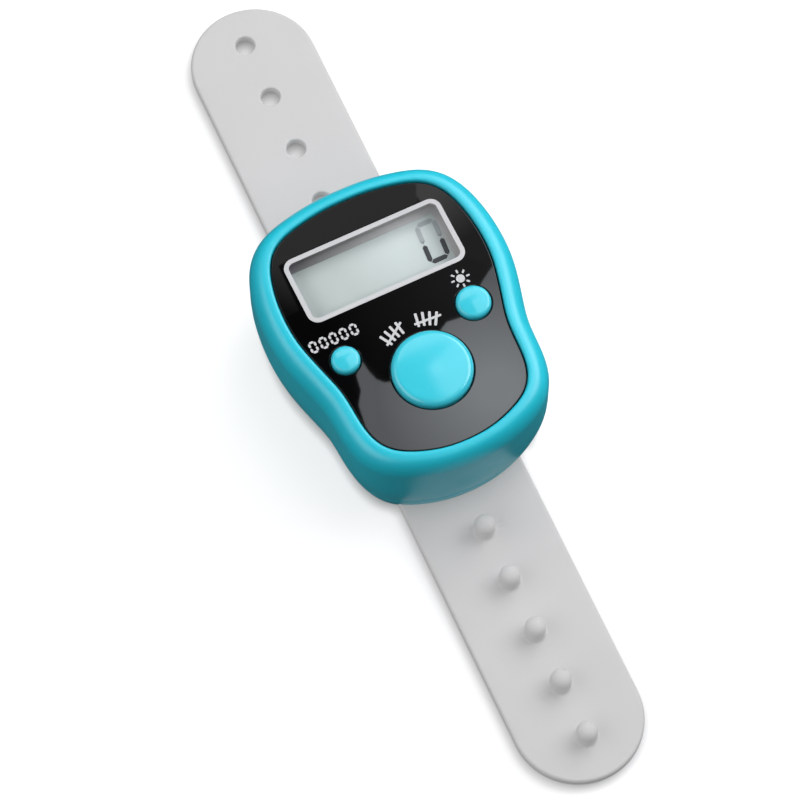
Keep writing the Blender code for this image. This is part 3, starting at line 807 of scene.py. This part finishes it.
def strap_section(y):
    """The strap's cross-section at y: flat above and below, round at both edges."""
    right = [(STRAP_HALF - inset, y, z) for inset, z in edge_profile()]
    left = [(-x, y, z) for x, _, z in reversed(right)]
    inner = STRAP_HALF - STRAP_EDGE
    shares = (0.8, 0.4, 0.0, -0.4, -0.8)
    top = [(inner * share, y, STRAP_HIGH.z) for share in shares]
    under = [(inner * share, y, STRAP_LOW.z) for share in reversed(shares)]
    return right + top + left + under


def strap_stretch(name, y_start, y_end, steps):
    rings = [strap_section(y) for y in np.linspace(y_start, y_end, steps + 1)]
    return object_from(name, loft(rings))


def strap_tip(name, y_seam, y_end):
    """The last stretch, with a half-round free end; its rings shrink inwards at the edges."""
    side = 1 if y_end > y_seam else -1
    start = y_end - side * STRAP_HALF
    rings = []
    for inset, z in edge_profile():
        reach = STRAP_HALF - inset
        ring = [(reach, y_seam, z)]
        ring += [(reach * math.cos(a), start + side * reach * math.sin(a), z)
                 for a in np.radians(np.linspace(0, 180, TIP_STEPS + 1))]
        rings.append(ring + [(-reach, y_seam, z)])
    return object_from(name, loft(rings))


def cut_hole(piece, y):
    """A through hole with soft lips."""
    low, high, radius, lip = STRAP_LOW.z, STRAP_HIGH.z, HOLE_RADIUS, HOLE_LIP
    upper = [(radius + lip - lip * math.sin(a), high - lip + lip * math.cos(a))
             for a in np.radians((90, 70, 50, 30, 10))]
    upper.append((radius + 1.5 * lip, high + 0.3))
    profile = [(r, low + high - z) for r, z in reversed(upper)] + upper
    apply_boolean(piece, turned_mesh(profile, (0.0, y), 48))


def add_stud(piece, y):
    """A short peg with a domed head and a soft foot."""
    base, radius, foot = STRAP_HIGH.z, STUD_RADIUS, STUD_FOOT
    profile = [(radius * 0.8, base - 0.5), (radius + foot, base - 0.02)]
    profile += [(radius + foot - foot * math.sin(a), base + foot - foot * math.cos(a))
                for a in np.radians(np.linspace(15, 90, 6))]
    profile += arc((0.0, base + STUD_HEIGHT - STUD_DOME), (radius, STUD_DOME), 0, 86, 9)
    apply_boolean(piece, turned_mesh(profile, (0.0, y), 48), "UNION")


def lay_strap(piece):
    """Moves a piece made along the Y axis to the strap's place in the row frame."""
    turn = Matrix.Scale(MM, 4) @ STRAP_PLACE @ Matrix.Scale(1 / MM, 4)
    piece.data.transform(turn)
    return piece


def along_strap(joint):
    return (STRAP_PLACE.inverted() @ JOINTS[joint]).y


def make_strap(look):
    """Flat stretches that carry the holes and studs, and stretches over the joints between them."""
    for side, sign, count in (("upper", 1, 4), ("lower", -1, 5)):
        bends = [along_strap(f"{side}_bend_{i}") for i in range(1, count + 1)]
        pitch = bends[2] - bends[1]
        for i, bend in enumerate(bends, 1):
            body = f"strap_{side}_{i}"
            start = bend - sign * BEND_REACH
            end = bend + sign * (TIP_REACH if i == count else BEND_REACH)
            bending = lay_strap(strap_stretch(f"strap_{side}_bend_{i}", start, end, 14))
            finish_piece(bending, None, look["silicone"], weighted=False)
            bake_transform(bending)
            name = f"strap_{side}_flat_{i}"
            if i == count:
                low, high = strap_box(body)
                flat = strap_tip(name, end, high.y if sign > 0 else low.y)
            else:
                flat = strap_stretch(name, end, bends[i] - sign * BEND_REACH, 4)
            feature = cut_hole if side == "upper" else add_stud
            feature(flat, bends[1] + pitch * (i - 1.5))
            finish_piece(lay_strap(flat), body, look["silicone"], [body], 30.0)
    start, end = along_strap("lower_bend_1") + BEND_REACH, along_strap("upper_bend_1") - BEND_REACH
    middle = lay_strap(strap_stretch("strap_under_case", start, end, 24))
    finish_piece(middle, "case", look["silicone"], ["strap_middle"])


# ---------------------------------------------------------------- carried-over CAD nodes

def paint_nodes(look):
    finishes = {
        "teal": ["battery_cover"],
        "steel": ["battery_cover_screw"] + [f"case_screw_{i}" for i in range(1, 5)],
        "cell": ["button_cell_lower", "button_cell_upper"],
        "nickel": ["battery_contact_positive", "battery_contact_negative"],
        "board": ["circuit_board"],
        "resin": ["chip_blob", "resistor", "count_switch", "reset_switch", "light_switch"],
        "nylon": [f"{name}_switch_plunger" for name in BUTTONS],
        "ceramic": ["capacitor"],
        "diffuser": ["light_guide"],
        "led": ["backlight_led"],
        "zebra": ["zebra_strip"],
        "lcd": ["lcd_back_glass"],
    }
    for finish, nodes in finishes.items():
        for node in nodes:
            data = frame["nodes"][node].data
            data.materials.clear()
            data.materials.append(look[finish])


# ---------------------------------------------------------------- stage

def camera_place():
    azimuth, elevation = math.radians(CAMERA_AZIMUTH), math.radians(CAMERA_ELEVATION)
    back = Vector((math.sin(azimuth) * math.cos(elevation), -math.cos(azimuth) * math.cos(elevation),
                   math.sin(elevation)))
    return Vector(CAMERA_TARGET) + back * CAMERA_DISTANCE, back


def make_camera():
    place, back = camera_place()
    lens = bpy.data.cameras.new("camera")
    lens.lens = CAMERA_LENS
    lens.sensor_width = 36.0
    lens.clip_end = 10.0
    camera = bpy.data.objects.new("camera", lens)
    bpy.context.scene.collection.objects.link(camera)
    camera.location = place * MM
    camera.rotation_euler = (-back).to_track_quat("-Z", "Y").to_euler()
    bpy.context.scene.camera = camera


def over_face(x, y):
    """The point of the cards' plane that the face mirrors to the camera at face point x, y."""
    place, _ = camera_place()
    mirrored = Vector((place.x, place.y, 2 * PANEL_HIGH.z - place.z))
    share = (CARD_Z - mirrored.z) / (PANEL_HIGH.z - mirrored.z)
    return mirrored.x + (x - mirrored.x) * share, mirrored.y + (y - mirrored.y) * share


def rectangle(low, high):
    """Corners of an upright rectangle between two of them."""
    return [low, (high[0], low[1]), high, (low[0], high[1])]


def light_card(name, corners, glow, fade=None, z=CARD_Z, tint=(1.0, 1.0, 1.0)):
    """A level card over the object that glows. With a fade (centre, near, far, end) its glow
    falls to the end value between two distances from the centre."""
    mesh = bmesh.new()
    mesh.faces.new([mesh.verts.new((x, y, z)) for x, y in corners])
    card = object_from(name, mesh)
    made = bpy.data.materials.new(name)
    made.use_nodes = True
    tree = made.node_tree
    tree.nodes.clear()
    shine = tree.nodes.new("ShaderNodeEmission")
    shine.inputs["Color"].default_value = (*tint, 1.0)
    shine.inputs["Strength"].default_value = glow
    if fade:
        centre, near, far, end = fade
        away = distance_from(tree, (*centre, z))
        tree.links.new(span(tree, away, glow, end, near * MM, far * MM), shine.inputs["Strength"])
    output = tree.nodes.new("ShaderNodeOutputMaterial")
    tree.links.new(shine.outputs["Emission"], output.inputs["Surface"])
    card.data.materials.append(made)
    card.visible_camera = False


def openness(tree):
    """Glow for the floor: full in the open, low where the strap closes in on it, which paints a shadow
    there.
    """
    near = tree.nodes.new("ShaderNodeAmbientOcclusion")
    near.samples = 16
    near.inputs["Distance"].default_value = FLOOR_SHADE_REACH * MM
    return span(tree, near.outputs["AO"], *FLOOR_GLOW, 0.35, 0.95)


def make_floor():
    """A pale floor that lights and mirrors nothing on the object."""
    mesh = bmesh.new()
    bmesh.ops.create_grid(mesh, x_segments=1, y_segments=1, size=1500.0)
    floor = object_from("floor", mesh)
    made, tree, shader = shader_of("pale_floor")
    tree.links.new(blend_colours(tree, span(tree, noise(tree, 4.0), 0.0, 1.0), (0.46, 0.46, 0.46),
                                 (0.45, 0.45, 0.455)), shader.inputs["Base Color"])
    shader.inputs["Roughness"].default_value = 0.9
    shader.inputs["Specular IOR Level"].default_value = 0.1
    shader.inputs["Emission Color"].default_value = (1.0, 1.0, 1.0, 1.0)
    tree.links.new(openness(tree), shader.inputs["Emission Strength"])
    floor.data.materials.append(made)
    floor.visible_diffuse = False
    floor.visible_glossy = False


def make_lights():
    """One big card to the right, whose edge shows in the glossy face, and dimmer ones round
    it. A dark flag behind them keeps the rest of the face nearly black."""
    edge = [over_face(*point) for point in KEY_EDGE]
    key = [(edge[0][0], -80.0)] + edge + [(480.0, 420.0), (480.0, -80.0)]
    light_card("key_card", key, 5.2, (over_face(5.5, -10.0), 4.0, 26.0, 2.4), tint=(0.9, 0.95, 1.0))
    light_card("right_card", rectangle((150.0, -140.0), (500.0, 300.0)), 5.6, z=SIDE_Z)
    light_card("left_card", rectangle((-500.0, -200.0), (-130.0, 260.0)), 2.7, z=SIDE_Z)
    light_card("front_card", rectangle((-100.0, -330.0), (300.0, -90.0)), 1.1)
    light_card("back_card", rectangle((-80.0, 225.0), (480.0, 450.0)), 2.4, z=CARD_Z - 6)
    top = [over_face(*point) for point in TOP_EDGE]
    light_card("top_card", top + [(top[-1][0], TOP_END_Y), (top[0][0], TOP_END_Y)], 0.55,
               (over_face(0.0, 19.0), 21.0, 30.0, 0.05))
    corner = [over_face(*point) for point in CORNER_EDGE]
    beyond = [(corner[-1][0] + 40.0, corner[-1][1] + 40.0), (200.0, TOP_END_Y), (corner[0][0], TOP_END_Y)]
    light_card("corner_card", corner + beyond, 1.13, (over_face(9.0, 18.0), 6.5, 19.0, 0.3), CARD_Z + 2)
    flag = [over_face(*point) for point in rectangle((-16.0, -20.0), (16.0, 22.0))]
    light_card("black_flag", flag, 0.25, (over_face(11.5, 6.0), 4.0, 38.0, 0.0), CARD_Z + 4)


def make_world():
    world = bpy.data.worlds.new("studio")
    bpy.context.scene.world = world
    world.use_nodes = True
    grey = (WORLD_GREY, WORLD_GREY, WORLD_GREY, 1.0)
    world.node_tree.nodes["Background"].inputs["Color"].default_value = grey
    bpy.context.scene.view_settings.view_transform = "Standard"


# ---------------------------------------------------------------- assembly

def main():
    look = make_materials()
    make_front_shell(look)
    make_back_cover(look)
    make_face_panel(look)
    make_window(look)
    make_window_frame(look)
    make_lcd(look)
    make_digit(look)
    make_marks(look)
    for name in BUTTONS:
        make_button(look, name)
    make_strap(look)
    paint_nodes(look)
    make_camera()
    make_floor()
    make_lights()
    make_world()


main()
